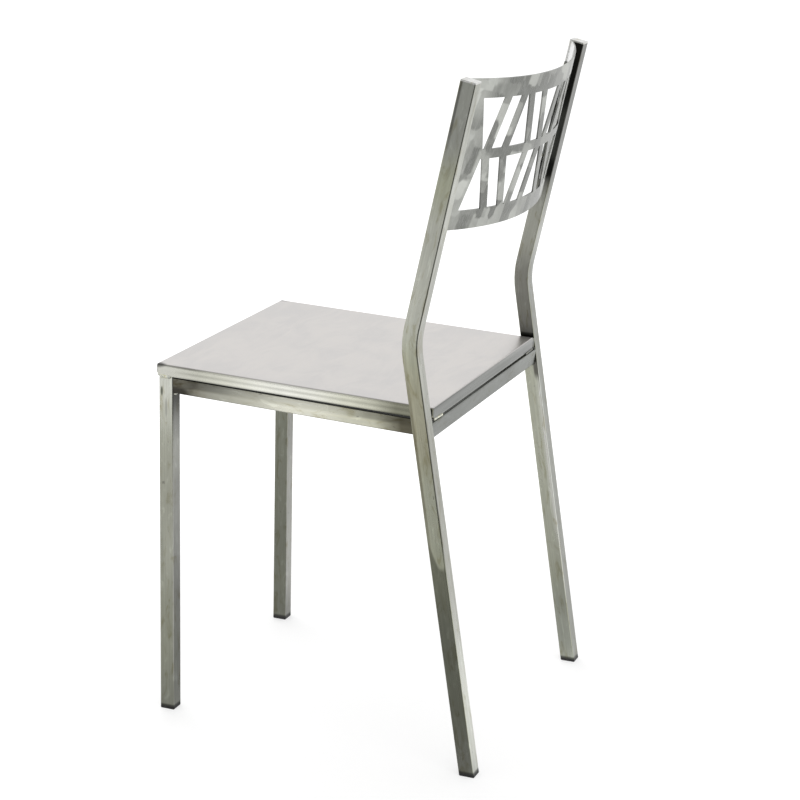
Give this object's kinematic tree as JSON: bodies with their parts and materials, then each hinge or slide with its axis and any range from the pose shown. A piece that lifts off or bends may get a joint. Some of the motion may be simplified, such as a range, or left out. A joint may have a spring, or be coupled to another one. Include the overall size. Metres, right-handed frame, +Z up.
{
  "type": "metal dining chair",
  "caption": "Dining chair with a welded square-tube steel frame, a flat folded sheet-steel seat and a curved, pierced sheet backrest between bent rear uprights.",
  "frame": {"origin": "on the floor, under the middle of the chair's bounding box", "axes": "+Z up, -Y towards the front of the seat where the sitter faces, +X to the sitter's left"},
  "size_m": [0.4326, 0.4584, 0.8734],
  "materials": {
    "frame_steel": "raw drawn steel under clear lacquer, satin with soft streaks",
    "seat_steel": "raw rolled sheet under clear lacquer, cloudy satin",
    "backrest_steel": "raw rolled sheet under clear lacquer, cloudy satin with bright cut edges",
    "weld_steel": "rippled weld metal, lightly brushed",
    "foot_plastic": "black moulded plastic, fine grain"
  },
  "bodies": {
    "root": {"front_leg_left": "frame_steel", "front_leg_right": "frame_steel", "rear_upright_left": "frame_steel", "rear_upright_right": "frame_steel", "side_rail_left": "frame_steel", "side_rail_right": "frame_steel", "front_rail": "frame_steel", "rear_rail": "frame_steel", "top_cap_left": "frame_steel", "top_cap_right": "frame_steel", "seat_pan": "seat_steel", "backrest_panel": "backrest_steel", "seat_front_weld_left": "weld_steel", "seat_front_weld_right": "weld_steel", "seat_rear_weld_left": "weld_steel", "seat_rear_weld_right": "weld_steel", "side_rail_front_weld_left": "weld_steel", "side_rail_front_weld_right": "weld_steel", "side_rail_rear_weld_left": "weld_steel", "side_rail_rear_weld_right": "weld_steel", "front_rail_weld_left": "weld_steel", "front_rail_weld_right": "weld_steel", "rear_rail_weld_left": "weld_steel", "rear_rail_weld_right": "weld_steel", "backrest_weld_left": "weld_steel", "backrest_weld_right": "weld_steel", "foot_cap_front_left": "foot_plastic", "foot_cap_front_right": "foot_plastic", "foot_cap_rear_left": "foot_plastic", "foot_cap_rear_right": "foot_plastic"}
  },
  "joints": []
}
